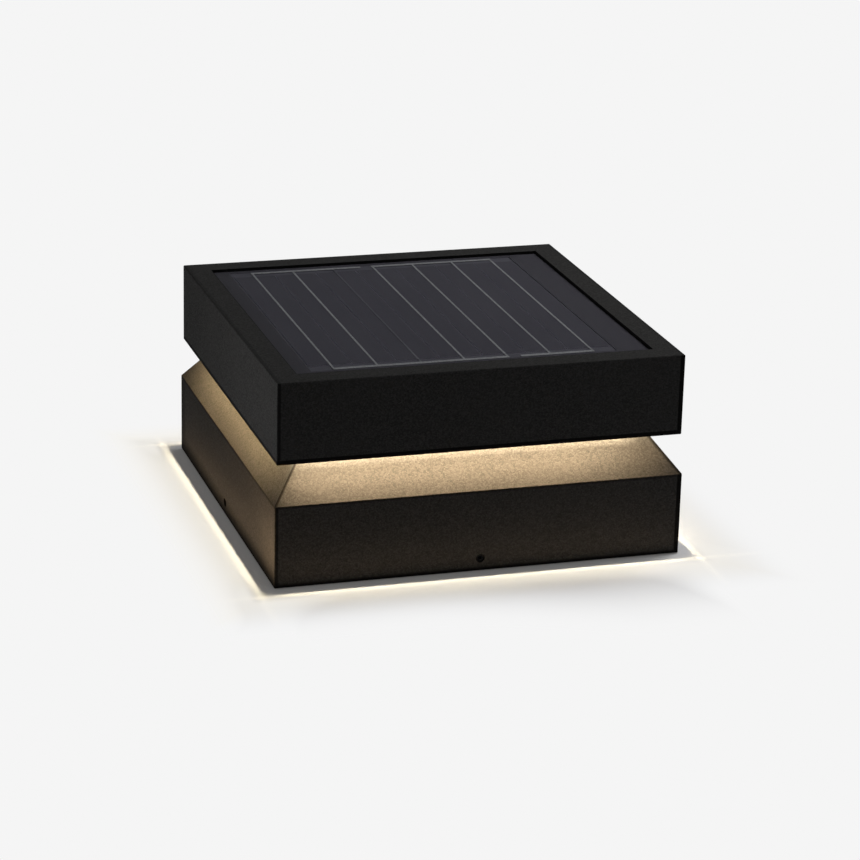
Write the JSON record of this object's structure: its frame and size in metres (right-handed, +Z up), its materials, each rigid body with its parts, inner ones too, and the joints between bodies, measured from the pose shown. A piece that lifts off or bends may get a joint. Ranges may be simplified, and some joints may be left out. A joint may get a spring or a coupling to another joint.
{
  "type": "solar post light",
  "caption": "Square black solar light for the top of a post: a cap with a sunk solar panel over a base with a sloped shoulder, lit through the slot between them.",
  "frame": {"origin": "middle of the face that rests on the post", "axes": "+Z up; -Y towards the front face; +X to the right seen from the front"},
  "size_m": [0.2526, 0.2526, 0.126],
  "materials": {
    "powder_coat": "fine sand-textured black powder coat",
    "zinc_plate": "zinc-plated sheet",
    "rubber_seal": "matt rubber",
    "black_screw": "black oxide",
    "steel_screw": "bright zinc",
    "bare_aluminium": "satin",
    "opal_diffuser": "frosted opal",
    "white_board": "white solder mask",
    "led_phosphor": "yellow phosphor lens",
    "foam_tape": "closed-cell foam",
    "panel_backsheet": "black laminate",
    "silicon_cell": "dark blue-black monocrystalline",
    "tinned_ribbon": "tinned copper",
    "cover_glass": "thin clear sheet, satin top",
    "black_plastic": "moulded, fine texture",
    "battery_wrap": "shrink sleeve",
    "nickel": "nickel plate",
    "green_board": "green solder mask",
    "ferrite": "ferrite with coated winding",
    "capacitor_can": "sleeved can",
    "connector_nylon": "white nylon",
    "switch_metal": "turned stainless",
    "lead_jacket": "matt cable jacket"
  },
  "bodies": {
    "mount": {"post_gasket": "rubber_seal", "mounting_plate": "zinc_plate"},
    "lamp": {"base_housing": "powder_coat", "set_screws": "black_screw", "deck_gasket": "rubber_seal", "deck_screws": "steel_screw", "cap_housing": "powder_coat", "cap_tray": "powder_coat", "tray_nuts": "steel_screw", "cap_screws": "black_screw", "led_carrier": "bare_aluminium", "carrier_seal": "rubber_seal", "led_jumpers": "lead_jacket", "solar_seal": "foam_tape", "solar_backsheet": "panel_backsheet", "solar_cells": "silicon_cell", "cell_ribbons": "tinned_ribbon", "bus_ribbons": "tinned_ribbon", "solar_glass": "cover_glass", "junction_block": "black_plastic", "battery_holder": "black_plastic", "battery_cell_front": "battery_wrap", "battery_cell_back": "battery_wrap", "battery_contacts": "nickel", "controller_board": "green_board", "board_spacers": "steel_screw", "board_screws": "steel_screw", "inductor": "ferrite", "capacitors": "capacitor_can", "board_connectors": "connector_nylon", "board_chips": "black_plastic", "switch_body": "switch_metal", "switch_seal": "rubber_seal", "switch_nut": "switch_metal", "panel_lead": "lead_jacket", "battery_lead": "lead_jacket", "led_lead": "lead_jacket", "switch_lead": "lead_jacket", "led_board_front": "white_board", "led_chips_front": "led_phosphor", "diffuser_front": "opal_diffuser", "led_board_right": "white_board", "led_chips_right": "led_phosphor", "diffuser_right": "opal_diffuser", "led_board_back": "white_board", "led_chips_back": "led_phosphor", "diffuser_back": "opal_diffuser", "led_board_left": "white_board", "led_chips_left": "led_phosphor", "diffuser_left": "opal_diffuser"},
    "button": {"power_button": "switch_metal"}
  },
  "joints": [
    {"name": "lamp_lift", "type": "slide", "parent": "mount", "child": "lamp", "axis": [0, 0, 1], "range_m": [0, 0.08]},
    {"name": "button_press", "type": "slide", "parent": "lamp", "child": "button", "axis": [0, 0, 1], "range_m": [0, 0.002], "stiffness_N_per_m": 600, "springref_m": -0.002}
  ]
}
